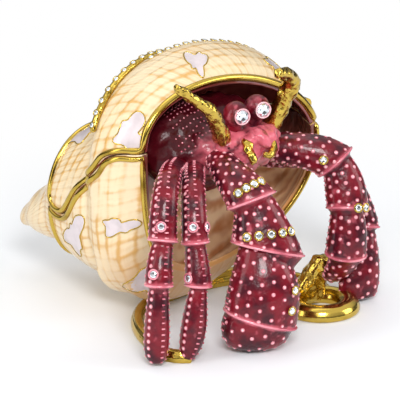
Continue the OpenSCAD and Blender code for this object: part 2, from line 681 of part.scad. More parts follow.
// Antennae: a thick foot, a knuckle and a whip that bends back
antenna_right_shares = [
    [-0.335, -0.38, 0.885, 0.28, 0.28], [-0.37, -0.44, 0.915, 0.31, 0.31], [-0.40, -0.47, 0.95, 0.27, 0.27],
    [-0.44, -0.50, 1.00, 0.24, 0.24], [-0.48, -0.53, 1.05, 0.26, 0.26], [-0.52, -0.54, 1.08, 0.20, 0.20],
    [-0.58, -0.54, 1.12, 0.17, 0.17], [-0.66, -0.52, 1.17, 0.16, 0.16], [-0.71, -0.50, 1.205, 0.16, 0.16],
    [-0.735, -0.50, 1.22, 0.10, 0.10]
];
module antenna_right() {
    color(gold)
    placed()
    limb(antenna_right_shares, [0, 1, 0]);
}
antenna_left_shares = [
    [0.055, -0.28, 0.85, 0.28, 0.28], [0.085, -0.34, 0.91, 0.31, 0.31], [0.11, -0.38, 0.99, 0.28, 0.28],
    [0.14, -0.42, 1.05, 0.34, 0.34], [0.14, -0.46, 1.09, 0.32, 0.32], [0.10, -0.50, 1.125, 0.26, 0.26],
    [0.04, -0.54, 1.15, 0.22, 0.22], [-0.02, -0.58, 1.17, 0.18, 0.18], [-0.05, -0.60, 1.18, 0.12, 0.12]
];
module antenna_left() {
    color(gold)
    placed()
    limb(antenna_left_shares, [0, 1, 0]);
}
mouthpart_right_shares = [
    [-0.21, -0.46, 0.875, 0.18, 0.16], [-0.235, -0.54, 0.865, 0.22, 0.16], [-0.24, -0.58, 0.84, 0.16, 0.13],
    [-0.24, -0.62, 0.81, 0.20, 0.14], [-0.235, -0.64, 0.785, 0.08, 0.08]
];
module mouthpart_right() {
    color(gold)
    placed()
    limb(mouthpart_right_shares, [1, 0, 0]);
}
mouthpart_left_shares = [
    [-0.02, -0.44, 0.84, 0.18, 0.16], [-0.03, -0.53, 0.82, 0.22, 0.16], [-0.07, -0.59, 0.805, 0.18, 0.14],
    [-0.12, -0.62, 0.80, 0.14, 0.12], [-0.15, -0.60, 0.815, 0.08, 0.08]
];
module mouthpart_left() {
    color(gold)
    placed()
    limb(mouthpart_left_shares, [0, 0, 1]);
}

// A cut stone: a shallow cup below its girdle and a crown above it
module stone(p, d, r) {
    facing(p - 0.35 * r * d, d)
    union() {
        cylinder(h = 0.5 * r, r = r, $fn = 32);
        translate([0, 0, 0.5 * r])
        cylinder(h = 0.35 * r, r1 = r, r2 = 0.6 * r, $fn = 32);
    }
}
module eye_stones() {
    color(crystal)
    placed()
    for (p = [eye_right_place, eye_left_place])
        stone(p + (eye_r + 0.1 * eye_stone_r) * eye_look, eye_look, eye_stone_r);
}
// Stones on a limb: row of the limb, then the angles of the stones around it
function limb_stone(rows, i, side, angle) =
    let (
        c = limb_place(rows[i]),
        t = limb_heading(rows, i),
        s = unit(side - (side * t) * t),
        u = cross(t, s),
        a = rows[i][3] * limb_w,
        b = rows[i][4] * limb_w
    )
    [
        c + a * cos(angle) * (s + limb_slant(rows[i]) * t) + b * sin(angle) * u,
        unit(cos(angle) / a * s + sin(angle) / b * u)
    ];
module limb_stones(rows, side, places) {
    for (q = places) {
        g = limb_stone(rows, q[0], side, q[1]);
        stone(g[0], g[1], stone_r);
    }
}
module claw_stones() {
    color(crystal)
    placed() {
        limb_stones(big_claw_shares, big_claw_side,
            [
                [4, 50], [4, 72], [4, 94], [4, 116],
                [8, 36], [8, 58], [8, 80], [8, 102], [8, 124],
                [12, 40], [13, 48]
            ]);
        limb_stones(left_claw_shares, left_claw_side, [[3, 100], [8, 62], [8, 34]]);
    }
}
module leg_stones() {
    color(crystal)
    placed() {
        limb_stones(right_rear_shares, right_rear_side, [[5, 110], [9, 125]]);
        limb_stones(right_front_shares, right_front_side, [[5, 110], [5, 40], [9, 150]]);
    }
}
// Rows of stones on the lid: along the gold cord and over the top of the shell
crown_share = 0.30;
module lid_stones() {
    color(crystal)
    placed() {
        for (a = [156:-7:88]) {
            s = cord_share(a);
            stone(shell_point(s, a) + 1.25 * cord_r * outward(s, a), outward(s, a), stone_r);
        }
        for (a = [108:-5:48])
            stone(shell_point(crown_share, a), outward(crown_share, a), stone_r);
    }
}

lower_shell();
shell_lid();
base_rim();
lid_rim();
whorl_cord();
front_wall();
hinge_base();
hinge_lid();
hinge_pin();
foot_bar();
claw_post();
crab_body();
snout();
eye_right();
eye_left();
antenna_right();
antenna_left();
mouthpart_right();
mouthpart_left();
big_claw();
left_claw();
right_front_leg();
right_rear_leg();
left_rear_leg();
eye_stones();
claw_stones();
leg_stones();
lid_stones();
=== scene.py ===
"""Looks of a hermit crab trinket box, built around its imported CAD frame."""

import math
import random

import bmesh
import bpy
from bpy.props import FloatProperty, IntProperty, PointerProperty
from mathutils import Matrix, Vector, noise
from mathutils.bvhtree import BVHTree
from mathutils.kdtree import KDTree


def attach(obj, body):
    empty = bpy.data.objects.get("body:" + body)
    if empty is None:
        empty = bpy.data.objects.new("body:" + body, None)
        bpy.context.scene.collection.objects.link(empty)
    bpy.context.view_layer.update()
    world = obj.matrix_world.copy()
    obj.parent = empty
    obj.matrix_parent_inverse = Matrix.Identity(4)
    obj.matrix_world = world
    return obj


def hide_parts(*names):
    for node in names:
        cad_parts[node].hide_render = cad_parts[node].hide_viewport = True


bl_info = {
    "name": "Hermit Crab Trinket Box",
    "version": (1, 0, 0),
    "blender": (4, 5, 0),
    "location": "View3D > Sidebar > Trinket Box",
    "description": "Builds the enamelled looks of a hermit crab trinket box",
    "category": "Object",
}

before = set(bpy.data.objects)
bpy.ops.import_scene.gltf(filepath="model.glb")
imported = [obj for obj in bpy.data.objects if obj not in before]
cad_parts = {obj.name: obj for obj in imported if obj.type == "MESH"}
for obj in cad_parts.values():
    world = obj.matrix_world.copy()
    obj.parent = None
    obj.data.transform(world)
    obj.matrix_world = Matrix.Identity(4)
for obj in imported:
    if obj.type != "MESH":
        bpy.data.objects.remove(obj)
MM = 0.001


# Materials


def srgb(r, g, b):
    """A display colour as linear RGBA."""
    return tuple(c / 12.92 if c <= 0.04045 else ((c + 0.055) / 1.055) ** 2.4 for c in (r, g, b)) + (1.0,)


def grey(level):
    """A linear grey as RGBA."""
    return (level, level, level, 1)


class Field:
    """A node socket that can be calculated with."""

    def __init__(self, tree, socket):
        self.tree = tree
        self.socket = socket

    def node(self, kind, inputs, output=0, **options):
        """A new node fed from these inputs: fields, numbers or colours."""
        made = self.tree.nodes.new(kind)
        for key, value in options.items():
            setattr(made, key, value)
        for key, value in inputs.items():
            if isinstance(value, Field):
                self.tree.links.new(value.socket, made.inputs[key])
            else:
                made.inputs[key].default_value = value
        return Field(self.tree, made.outputs[output])

    def math(self, operation, *values):
        return self.node("ShaderNodeMath", dict(enumerate(values)), operation=operation)

    def __add__(self, other):
        return self.math("ADD", self, other)

    def __mul__(self, other):
        return self.math("MULTIPLY", self, other)

    def __sub__(self, other):
        return self.math("SUBTRACT", self, other)

    def __rsub__(self, other):
        return self.math("SUBTRACT", other, self)

    def __pow__(self, other):
        return self.math("POWER", self, other)

    def axis(self, name):
        """The X, Y or Z part of this vector."""
        return self.node("ShaderNodeSeparateXYZ", {"Vector": self}, output=name)

    def waves(self):
        """Soft lines between 0 and 1, one for each full turn of this angle."""
        return self.math("SINE", self) * 0.5 + 0.5

    def ramp(self, low, high):
        """0 below low, 1 above high."""
        inputs = {"Value": self, "From Min": low, "From Max": high}
        return self.node("ShaderNodeMapRange", inputs, interpolation_type="SMOOTHSTEP")

    def noise(self, scale, detail):
        """Noise at this vector."""
        return self.node("ShaderNodeTexNoise", {"Vector": self, "Scale": scale, "Detail": detail})

    def blend(self, low, high):
        """Colour low where this is 0, high where it is 1."""
        return self.node("ShaderNodeMix", {0: self, 6: low, 7: high}, output=2, data_type="RGBA")


class Finish:
    """A Principled material with a few varying inputs."""

    def __init__(self, name, **uniform):
        self.material = bpy.data.materials.new(name)
        self.material.use_nodes = True
        self.tree = self.material.node_tree
        self.shader = self.tree.nodes["Principled BSDF"]
        for key, value in uniform.items():
            self.shader.inputs[key.replace("_", " ")].default_value = value
        if "Base_Color" in uniform:
            self.material.diffuse_color = uniform["Base_Color"]

    def coordinates(self, output="Object"):
        return Field(self.tree, self.tree.nodes.new("ShaderNodeTexCoord").outputs[output])

    def attribute(self, name):
        made = self.tree.nodes.new("ShaderNodeAttribute")
        made.attribute_name = name
        return Field(self.tree, made.outputs["Fac"])

    def feed(self, entry, field):
        """Links a field to one of the shader's inputs."""
        self.tree.links.new(field.socket, self.shader.inputs[entry])

    def bump(self, height, distance, strength):
        inputs = {"Height": height, "Distance": distance, "Strength": strength}
        self.feed("Normal", height.node("ShaderNodeBump", inputs, output="Normal"))


CREAM = srgb(0.925, 0.84, 0.69)
HONEY = srgb(0.84, 0.65, 0.36)
# Painted shade colour of the shell enamel under the mouth
SHADED_HONEY = srgb(0.74, 0.54, 0.34)
PEARL = srgb(0.86, 0.81, 0.82)
DIM_PEARL = srgb(0.78, 0.73, 0.74)
TAN = srgb(1.0, 0.87, 0.70)
DEEP_TAN = srgb(0.78, 0.52, 0.33)
# Painted shade colours of the mouth: its front edge, and high up inside it
SHADED_EDGE_TAN = srgb(0.80, 0.57, 0.33)
SHADED_UPPER_BROWN = srgb(0.46, 0.22, 0.18)
LID_RED = srgb(0.62, 0.30, 0.27)
DARK_LID_RED = srgb(0.45, 0.13, 0.15)
WINE = srgb(0.47, 0.05, 0.12)
DARK_WINE = srgb(0.24, 0.03, 0.09)
# Painted shade colour of the back under the lid
SHADED_WINE = srgb(0.24, 0.03, 0.06)
ROSE = srgb(0.84, 0.40, 0.46)
LIP_ROSE = srgb(0.91, 0.56, 0.61)
DARK_LIP_ROSE = srgb(0.74, 0.30, 0.38)
PINK = srgb(0.91, 0.63, 0.66)
LIGHT_PINK = srgb(0.96, 0.80, 0.82)
GOLD = srgb(0.80, 0.68, 0.31)
# Painted shade colour of the gold in its hollows
SHADED_GOLD = srgb(0.52, 0.41, 0.13)
STEEL = srgb(0.62, 0.63, 0.65)
CRYSTAL = srgb(0.93, 0.95, 0.97)

LINE_SHARPNESS = 4.0
GROWTH_PITCH = 2.4 * MM
GROWTH_WANDER = 14.0


def shell_finish():
    """Cream enamel with thin honey-coloured lines woven over it, fine streaks, and painted shade under the
    mouth.
    """
    made = Finish("shell_enamel", Roughness=0.3, Coat_Weight=0.3, Coat_Roughness=0.12)
    uv = made.coordinates("UV")
    place = made.coordinates()
    wander = (place.noise(90, 2) - 0.5) * 0.9
    around = uv.axis("X") + wander
    along = uv.axis("Y") + wander
    ribs = (around * math.tau).waves() ** LINE_SHARPNESS
    rings = (along * math.tau).waves() ** LINE_SHARPNESS
    threads = around.node("ShaderNodeCombineXYZ", {"X": around * 3.4, "Y": along * 0.5})
    hairs = around.node("ShaderNodeCombineXYZ", {"X": around * 0.5, "Y": along * 3.6})
    streaks = threads.noise(1.0, 2).ramp(0.35, 0.7) * 0.6 + hairs.noise(1.0, 2).ramp(0.4, 0.7) * 0.4
    clouds = place.noise(140, 1).ramp(0.3, 0.7)
    lines = ribs * 0.5 + rings * 0.65
    tone = lines * (clouds * 0.65 + 0.35) + streaks * 0.3 + clouds * 0.12
    enamel = tone.ramp(0.12, 1.0).blend(CREAM, HONEY)
    # Painted shade: the enamel turns a darker honey where the shade attribute is high, low under the mouth
    made.feed("Base Color", (made.attribute("shade") * 0.85).blend(enamel, SHADED_HONEY))
    made.bump(lines * 0.7 + streaks * 0.4, 0.3 * MM, 0.6)
    return made.material


def plain_enamel(name, color, dark, scale=160, rough=0.2, relief=0.35):
    """Enamel whose colour drifts towards a darker one."""
    made = Finish(name, Roughness=rough, Coat_Weight=0.8, Coat_Roughness=0.05)
    place = made.coordinates()
    made.feed("Base Color", place.noise(scale, 2).ramp(0.35, 0.7).blend(color, dark))
    made.bump(place.noise(scale * 2, 2), 0.2 * MM, relief)
    return made.material


def wine_finish():
    """Wine-red enamel with rosy edges and smears, and painted shade high on the back: darker, with less
    coat.
    """
    made = Finish("wine_enamel", Roughness=0.3, Specular_IOR_Level=0.2, Coat_Roughness=0.1)
    place = made.coordinates()
    dark = made.attribute("dark")
    deep = place.noise(230, 2).ramp(0.35, 0.65).blend(WINE, DARK_WINE)
    smears = place.noise(560, 3).ramp(0.5, 0.75) * 0.4
    ragged = (place.noise(260, 2) - 0.5) * 0.9
    edge = (made.attribute("edge") + smears + ragged).ramp(0.1, 1.05)
    # The dark attribute is painted shade: it darkens the colour and thins the coat
    made.feed("Base Color", dark.blend(edge.blend(deep, ROSE), SHADED_WINE))
    made.feed("Coat Weight", 0.35 - dark * 0.3)
    made.bump(place.noise(480, 3), 0.45 * MM, 1.0)
    return made.material


def mouth_finish():
    """Tan enamel with fine growth lines, with painted shade at its front edge and high up."""
    made = Finish("mouth_enamel", Roughness=0.3, Coat_Weight=0.5, Coat_Roughness=0.1)
    place = made.coordinates()
    wander = (place.noise(90, 3) - 0.5) * GROWTH_WANDER
    depth = place.axis("Y")
    height = place.axis("Z")
    lines = ((depth * 0.8 + height * 0.4) * (math.tau / GROWTH_PITCH) + wander).waves()
    tone = lines * 0.35 + place.noise(260, 2) * 0.65
    tan = tone.ramp(0.25, 0.8).blend(TAN, DEEP_TAN)
    # Painted shade: a darker tan at the front edge and brown high up inside the mouth
    front = 1.0 - depth.ramp(-6.85 * MM, -6.3 * MM)
    upper = height.ramp(24 * MM, 33 * MM)
    made.feed("Base Color", upper.blend(front.blend(tan, SHADED_EDGE_TAN), SHADED_UPPER_BROWN))
    made.bump(lines, 0.25 * MM, 0.6)
    return made.material


def gold_finish(name, scale, strength, distance=0.2 * MM):
    """Polished gold plate with painted shade in its hollows."""
    made = Finish(name, Metallic=1.0, Roughness=0.18, Base_Color=GOLD)
    grain = made.coordinates().noise(scale, 3)
    # Painted shade: darker gold where the grain, which is also the bump, is low
    made.feed("Base Color", grain.ramp(0.22, 0.5).blend(SHADED_GOLD, GOLD))
    made.bump(grain, distance, strength)
    return made.material


MAKERS = {
    "shell": shell_finish,
    "pearl": lambda: plain_enamel("pearl_enamel", PEARL, DIM_PEARL, 300, rough=0.35),
    "mouth": mouth_finish,
    "lid_inside": lambda: plain_enamel("lid_inside", LID_RED, DARK_LID_RED, relief=0.6),
    "wine": wine_finish,
    "rose": lambda: plain_enamel("rose_enamel", LIP_ROSE, DARK_LIP_ROSE, 220),
    "pink": lambda: plain_enamel("pink_beads", PINK, LIGHT_PINK, 400, rough=0.3),
    "gold": lambda: gold_finish("gold_plate", 160, 0.12),
    "hammered": lambda: gold_finish("gold_hammered", 700, 0.8, 0.4 * MM),
    "steel": lambda: Finish("steel", Metallic=1.0, Roughness=0.3, Base_Color=STEEL).material,
    "crystal": lambda: Finish("crystal", Metallic=0.9, Roughness=0.06, Base_Color=CRYSTAL).material,
}
finishes = {}


def finish_of(key):
    """The material of this key, made when it is first needed."""
    if key not in finishes:
        finishes[key] = MAKERS[key]()
    return finishes[key]


# Meshes


def clamped(share):
    return min(max(share, 0), 1)


def cad_mesh(node):
    """The CAD node's mesh with its doubles merged."""
    bm = bmesh.new()
    bm.from_mesh(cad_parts[node].data)
    bmesh.ops.remove_doubles(bm, verts=bm.verts, dist=0.002 * MM)
    return bm


def join_flat(bm, bend):
    """Joins triangles in pairs that bend by less than this angle."""
    bmesh.ops.join_triangles(bm, faces=bm.faces, angle_face_threshold=bend, angle_shape_threshold=3.0)


def piece(name, bm, body, materials, nodes=(), smooth=True, sharp=None):
    """A finished object from a bmesh, riding on a CAD body."""
    mesh = bpy.data.meshes.new(name)
    for face in bm.faces:
        face.smooth = smooth
    if sharp is not None:
        for edge in bm.edges:
            edge.smooth = not (len(edge.link_faces) == 2 and edge.calc_face_angle(0) > sharp)
    bm.to_mesh(mesh)
    bm.free()
    made = bpy.data.objects.new(name, mesh)
    bpy.context.scene.collection.objects.link(made)
    for key in materials:
        mesh.materials.append(finish_of(key))
    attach(made, body)
    if nodes:
        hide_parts(*nodes)
    return made


def apply_modifiers(made):
    """Bakes the modifiers into the mesh."""
    bpy.context.view_layer.update()
    graph = bpy.context.evaluated_depsgraph_get()
    baked = bpy.data.meshes.new_from_object(made.evaluated_get(graph))
    old = made.data
    made.modifiers.clear()
    made.data = baked
    bpy.data.meshes.remove(old)


def subdivide(made, levels):
    modifier = made.modifiers.new("round", "SUBSURF")
    modifier.levels = modifier.render_levels = levels
    apply_modifiers(made)


def crease(bm, angle, amount):
    """Creases edges that bend by more than this angle."""
    layer = bm.edges.layers.float.new("crease_edge")
    for edge in bm.edges:
        if len(edge.link_faces) == 2 and edge.calc_face_angle(0) > angle:
            edge[layer] = amount


def smooth_cad(name, node, body, material, levels=2, corner=None):
    """A rounded copy of a CAD node, creased at its corners where their angle is given."""
    bm = cad_mesh(node)
    join_flat(bm, 1.0)
    if corner is not None:
        crease(bm, corner, 0.7)
    made = piece(name, bm, body, [material], [node])
    subdivide(made, levels)
    return made


def roughen(made, amount, scale, swell=0.0):
    """Real relief on a casting: its points move along their normals."""
    for v in made.data.vertices:
        v.co += v.normal * (swell + amount * noise.noise(v.co * scale))


def surface(made):
    """A tree for finding points on the object."""
    bm = bmesh.new()
    bm.from_mesh(made.data)
    tree = BVHTree.FromBMesh(bm)
    bm.free()
    return tree


def new_attribute(made, name):
    """A new number for each point of the object."""
    return made.data.attributes.new(name, "FLOAT", "POINT")


def on_circle(count, offset=0.0):
    """The cosine and sine of each of so many steps around a circle."""
    angles = [math.tau * (k + offset) / count for k in range(count)]
    return [(math.cos(angle), math.sin(angle)) for angle in angles]


def standing(place, axis):
    """The matrix of a thing that stands at a place along an axis."""
    return Matrix.Translation(place) @ axis.to_track_quat("Z", "Y").to_matrix().to_4x4()


def add_tube(bm, path, radius, closed=False, sides=8):
    """A tube along a path of points."""
    count = len(path)
    rings = []
    across = Vector((0, 0, 1))
    for i, point in enumerate(path):
        before = path[(i - 1) % count] if closed else path[max(i - 1, 0)]
        after = path[(i + 1) % count] if closed else path[min(i + 1, count - 1)]
        along = (after - before).normalized()
        if abs(across.dot(along)) < 0.98:
            across = (across - along * across.dot(along)).normalized()
        else:
            across = along.orthogonal()
        other = along.cross(across)
        rings.append([bm.verts.new(point + (across * x + other * y) * radius) for x, y in on_circle(sides)])
    pairs = list(zip(rings, rings[1:]))
    if closed:
        pairs.append((rings[-1], rings[0]))
    for low, high in pairs:
        for k in range(sides):
            after = (k + 1) % sides
            bm.faces.new((low[k], low[after], high[after], high[k]))
    if not closed:
        bm.faces.new(rings[0][::-1])
        bm.faces.new(rings[-1])


def closed_curve(points, steps):
    """A smooth closed curve through the points."""
    out = []
    count = len(points)
    for i in range(count):
        a, b, c, d = (points[(i + k) % count] for k in (-1, 0, 1, 2))
        for j in range(steps):
            t = j / steps
            square = (2 * a - 5 * b + 4 * c - d) * t * t
            cube = (3 * b - a - 3 * c + d) * t ** 3
            out.append(0.5 * (2 * b + (c - a) * t + square + cube))
    return out


def ball_template(segments, rings):
    """Points and faces of a unit ball."""
    bm = bmesh.new()
    bmesh.ops.create_uvsphere(bm, u_segments=segments, v_segments=rings, radius=1.0)
    points = [v.co.copy() for v in bm.verts]
    faces = [[v.index for v in f.verts] for f in bm.faces]
    bm.free()
    return points, faces


BEAD = ball_template(8, 6)
COLLAR = ball_template(10, 4)
COLLAR_WIDTH = 1.55
COLLAR_HEIGHT = 0.4


def add_ball(bm, template, shift, material):
    """The template placed by a matrix."""
    points, faces = template
    made = [bm.verts.new(shift @ p) for p in points]
    for face in faces:
        bm.faces.new([made[i] for i in face]).material_index = material


def add_bead(bm, place, normal, radius, height, material=0, collar=None):
    """A small dome, with a flat collar of another material if one is given."""
    turn = standing(place, normal)
    add_ball(bm, BEAD, turn @ Matrix.Diagonal((radius, radius, height * radius, 1)), material)
    if collar is not None:
        wide = radius * COLLAR_WIDTH
        add_ball(bm, COLLAR, turn @ Matrix.Diagonal((wide, wide, height * COLLAR_HEIGHT * wide, 1)), collar)


# Shell

MOUTH_Y = -6.93 * MM
WHORL_LENGTH = 48 * MM
RIBS_AROUND = 60
BAND_SLANT = 1.2
INSIDE = 1

# X and Z in mm of the middle line of the whorls, from the mouth to the tip
WHORL_LINE = ((4, 34), (2.5, 33), (0, 30), (-4, 27), (-8, 25), (-11, 23), (-16, 17), (-18, 14))

# Heights and depths between which painted shade darkens the enamel under the mouth
SHADE_TOP = 20 * MM
SHADE_HEIGHT = 9 * MM
SHADE_BACK = 6 * MM
SHADE_DEPTH = 12 * MM

# Patches on each body: a point outside and one inside with the middle between them, the half width,
# how many times longer it is, and its turn in radians; lengths in mm
PATCHES = {
    "lid": (
        ((-60, -20, 60), (-8, 2, 40), 3.6, 1.1, 0.3),
        ((-20, -25, 90), (6, 8, 45), 2.0, 2.4, 0.1),
        ((50, -20, 80), (16, 2, 45), 3.0, 1.3, 0.8),
        ((0, 60, 80), (0, 10, 35), 3.5, 1.4, 0.2),
        ((-70, 40, 60), (-10, 18, 35), 2.6, 1.5, 1.1),
    ),
    "base": (
        ((-70, -14, 24), (-5, 3, 24), 2.3, 1.5, 0.9),
        ((-70, 10, 14), (-5, 16, 18), 3.4, 1.5, 2.0),
        ((-58, -30, 4), (-4, 3, 14), 4.0, 1.5, 0.6),
        ((70, 20, 30), (10, 10, 26), 4.0, 1.2, 0.7),
        ((20, 90, 0), (4, 10, 13), 4.0, 1.3, 0.0),
        ((0, -10, -60), (0, 6, 20), 4.0, 1.4, 0.0),
    ),
}
PATCH_POINTS = 44
PATCH_REACH = 6 * MM
PATCH_LIFT = 0.09 * MM
WIRE_LIFT = 0.05 * MM

# Bends of a patch's outline: how many around it, and their depth
PATCH_BENDS = ((2, 0.24), (3, 0.24), (5, 0.16), (9, 0.05))


def whorl_middle(y):
    """The middle of the whorls at this depth."""
    t = min(max((y - MOUTH_Y) / WHORL_LENGTH, 0), 0.999) * (len(WHORL_LINE) - 1)
    i = int(t)
    low, high = (Vector((x, 0, z)) for x, z in WHORL_LINE[i:i + 2])
    return low.lerp(high, t - i) * MM


def shell_uv(bm, band):
    """Marks the inner faces, and maps the wall in ribs along it and bands around it."""
    layer = bm.loops.layers.uv.new("UVMap")
    for face in bm.faces:
        spot = face.calc_center_median()
        middle = whorl_middle(spot.y)
        away = Vector((spot.x - middle.x, 0, spot.z - middle.z))
        outward = away + Vector((0, 0.6 * away.length, 0))
        if face.normal.dot(outward) < -0.2 * away.length:
            face.material_index = INSIDE
        base = math.atan2(away.z, away.x)
        for loop in face.loops:
            co = loop.vert.co
            middle = whorl_middle(co.y)
            angle = math.atan2(co.z - middle.z, co.x - middle.x)
            angle += math.tau * round((base - angle) / math.tau)
            along = (co.y - MOUTH_Y) / band
            loop[layer].uv = (angle / math.tau * RIBS_AROUND, along + BAND_SLANT * math.sin(angle))


def paint_shade(made):
    """Painted shade on the enamel under the mouth: 1 low at its edge, 0 further back and higher up."""
    shade = new_attribute(made, "shade")
    for v in made.data.vertices:
        low = clamped((SHADE_TOP - v.co.z) / SHADE_HEIGHT)
        front = clamped((SHADE_BACK - v.co.y) / SHADE_DEPTH)
        shade.data[v.index].value = low * front


class ShellLook(bpy.types.PropertyGroup):
    band: FloatProperty(
        name="Band", description="Distance between two woven bands", default=2.7 * MM, unit="LENGTH"
    )
    wire: FloatProperty(
        name="Wire", description="Radius of the wire around a patch", default=0.17 * MM, unit="LENGTH"
    )
    seed: IntProperty(name="Seed", description="Seed of the patches' outlines", default=7)


def patch_outline(size, stretch, chance):
    """A ragged closed outline around zero."""
    bends = [(count, depth, chance.uniform(0, math.tau)) for count, depth in PATCH_BENDS]
    outline = []
    for k in range(PATCH_POINTS):
        t = math.tau * k / PATCH_POINTS
        share = 1 + sum(depth * math.cos(count * t + start) for count, depth, start in bends)
        outline.append(Vector((math.cos(t) * stretch, math.sin(t), 0)) * share * size)
    return outline


def add_patch(skin, wires, tree, origin, target, size, stretch, turn, look, chance):
    """A pale patch with a gold outline, laid on the shell where the line from origin meets it."""
    place, normal = tree.ray_cast(origin, (target - origin).normalized())[:2]
    if place is None:
        raise RuntimeError(f"patch: no shell between {origin} and {target}")
    if normal.dot(origin - place) < 0:
        normal = -normal
    side = Matrix.Rotation(turn, 3, normal) @ normal.orthogonal().normalized()
    other = normal.cross(side)
    outline = patch_outline(size, stretch, chance)

    def dropped(offset, lift):
        start = place + normal * PATCH_REACH + side * offset.x + other * offset.y
        found = tree.ray_cast(start, -normal, 2 * PATCH_REACH)
        if found[0] is None or found[1].dot(normal) < 0.05:
            found = tree.find_nearest(start - normal * PATCH_REACH)
        out = found[1] if found[1].dot(normal) > 0 else -found[1]
        return found[0] + out * lift

    rings = [
        [skin.verts.new(dropped(p * share, PATCH_LIFT)) for p in outline] for share in (0.25, 0.5, 0.75, 1.0)
    ]
    middle = skin.verts.new(dropped(Vector((0, 0, 0)), PATCH_LIFT))
    for k in range(PATCH_POINTS):
        after = (k + 1) % PATCH_POINTS
        skin.faces.new((middle, rings[0][k], rings[0][after]))
        for low, high in zip(rings, rings[1:]):
            skin.faces.new((low[k], high[k], high[after], low[after]))
    add_tube(wires, [dropped(p, WIRE_LIFT) for p in outline], look.wire, closed=True, sides=6)


class TRINKET_OT_shell(bpy.types.Operator):
    """Builds the lid and the base of the shell with their patches"""

    bl_idname = "trinket.shell"
    bl_label = "Shell"

    def execute(self, context):
        look = context.scene.trinket_shell
        walls = {}
        for name, node, body, inside in (
            ("shell_base", "lower_shell", "base", "mouth"),
            ("shell_top", "shell_lid", "lid", "lid_inside"),
        ):
            bm = cad_mesh(node)
            join_flat(bm, 0.7)
            crease(bm, math.radians(50), 0.8)
            bm.normal_update()
            shell_uv(bm, look.band)
            walls[body] = piece(name, bm, body, ["shell", inside], [node])
            subdivide(walls[body], 2)
            paint_shade(walls[body])
        chance = random.Random(look.seed)
        for body, rows in PATCHES.items():
            tree = surface(walls[body])
            skin, wires = bmesh.new(), bmesh.new()
            for origin, target, size, stretch, turn in rows:
                ends = (Vector(origin) * MM, Vector(target) * MM)
                add_patch(skin, wires, tree, *ends, size * MM, stretch, turn, look, chance)
            piece(f"{body}_patches", skin, body, ["pearl"])
            piece(f"{body}_patch_wires", wires, body, ["gold"])
        return {"FINISHED"}


# Rims, foot and hinge

RIM_CORNER = math.radians(70)
LIP_BACK = -5.5 * MM
LIP_SWELL = 0.2 * MM
FOOT_VOXEL = 0.22 * MM
FOOT_SOFTENING = 8

# CAD nodes that are shown as they are, with their materials
SHOWN_NODES = (
    ("hinge_base", "gold"),
    ("hinge_lid", "gold"),
    ("hinge_pin", "steel"),
    ("front_wall", "mouth"),
)


class TRINKET_OT_rims(bpy.types.Operator):
    """Builds the gold rims, the cord, the foot and the hinge"""

    bl_idname = "trinket.rims"
    bl_label = "Rims, foot and hinge"

    def execute(self, context):
        smooth_cad("mouth_rim_base", "base_rim", "base", "gold", 1, RIM_CORNER)
        rim = smooth_cad("mouth_rim_lid", "lid_rim", "lid", "gold", 1, RIM_CORNER)
        for v in rim.data.vertices:
            if v.co.y < LIP_BACK:
                v.co += v.normal * LIP_SWELL
        smooth_cad("whorl_wire", "whorl_cord", "lid", "hammered", 1)
        foot = piece("foot_bow", cad_mesh("foot_bar"), "base", ["gold"], ["foot_bar"])
        remesh = foot.modifiers.new("melt", "REMESH")
        remesh.mode = "VOXEL"
        remesh.voxel_size = FOOT_VOXEL
        soften = foot.modifiers.new("soften", "SMOOTH")
        soften.iterations = FOOT_SOFTENING
        apply_modifiers(foot)
        for polygon in foot.data.polygons:
            polygon.use_smooth = True
        roughen(smooth_cad("claw_prop", "claw_post", "base", "hammered"), 0.7 * MM, 600)
        for node, material in SHOWN_NODES:
            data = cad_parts[node].data
            data.materials.clear()
            data.materials.append(finish_of(material))
        return {"FINISHED"}


# Limbs

CAP_FLATNESS = 0.99999
CAP_FACES = 6
HEADING_REACH = 0.96 * MM
STEP_LENGTH = 1.5 * MM
STEP_SHARE = 0.97
STEP_CREASES = (0.75, 0.55)
SKIN_PROBE = 3 * MM
BEAD_HEIGHT = 0.55
BAR_PITCH = 1.25 * MM
BAR_ANGLES = (-8, 0, 8)
BAR_LIFT = 0.05 * MM
BAR_SHARE = 0.6

# Columns of beads and of bars on the right legs, in degrees around the limb from its side
LEG_BEADS = (145, 190, 238, 286, 334)
THIGH_BARS = (20, 88, 132)
LEG_BARS = (20, 74)

# Limbs: name, CAD node, side, columns of beads, columns of bars on the first plate and on the
# others, and the distance between two beads as a share of the look's pitch
LIMBS = (
    ("claw_big", "big_claw", (0.85, -0.5, 0.1), range(0, 360, 20), (172,), (172,), 1.0),
    ("claw_left", "left_claw", (0.8, -0.55, 0.2), range(10, 360, 26), (176,), (176,), 0.95),
    ("leg_right_rear", "right_rear_leg", (0.9, -0.4, 0), LEG_BEADS, THIGH_BARS, LEG_BARS, 0.62),
    ("leg_right_front", "right_front_leg", (0.9, -0.4, 0), LEG_BEADS, THIGH_BARS, LEG_BARS, 0.62),
    ("leg_left_rear", "left_rear_leg", (0.95, -0.3, 0), range(15, 360, 30), (180,), (180,), 1.0),
)


def middle_of(points):
    """The mean of some points."""
    points = list(points)
    return sum(points, Vector()) / len(points)


def span(centres, i):
    """The distance from a ring to the next one."""
    return (centres[i + 1] - centres[i]).length


def flat_groups(bm):
    """Groups of faces that lie in one plane, the large ones only."""
    seen, groups = set(), []
    for start in bm.faces:
        if start in seen:
            continue
        group, queue = {start}, [start]
        while queue:
            for edge in queue.pop().edges:
                for face in edge.link_faces:
                    if face not in group and face.normal.dot(start.normal) > CAP_FLATNESS:
                        group.add(face)
                        queue.append(face)
        seen |= group
        if len(group) > CAP_FACES:
            groups.append(group)
    return groups


def limb_heading(centres, i):
    """The way the limb runs at a ring, past neighbours that lie at the step of a lip."""
    before = [c for c in centres[:i] if (c - centres[i]).length > HEADING_REACH]
    after = [c for c in centres[i + 1:] if (c - centres[i]).length > HEADING_REACH]
    start = before[-1] if before else centres[i]
    end = after[0] if after else centres[i]
    return (end - start).normalized()


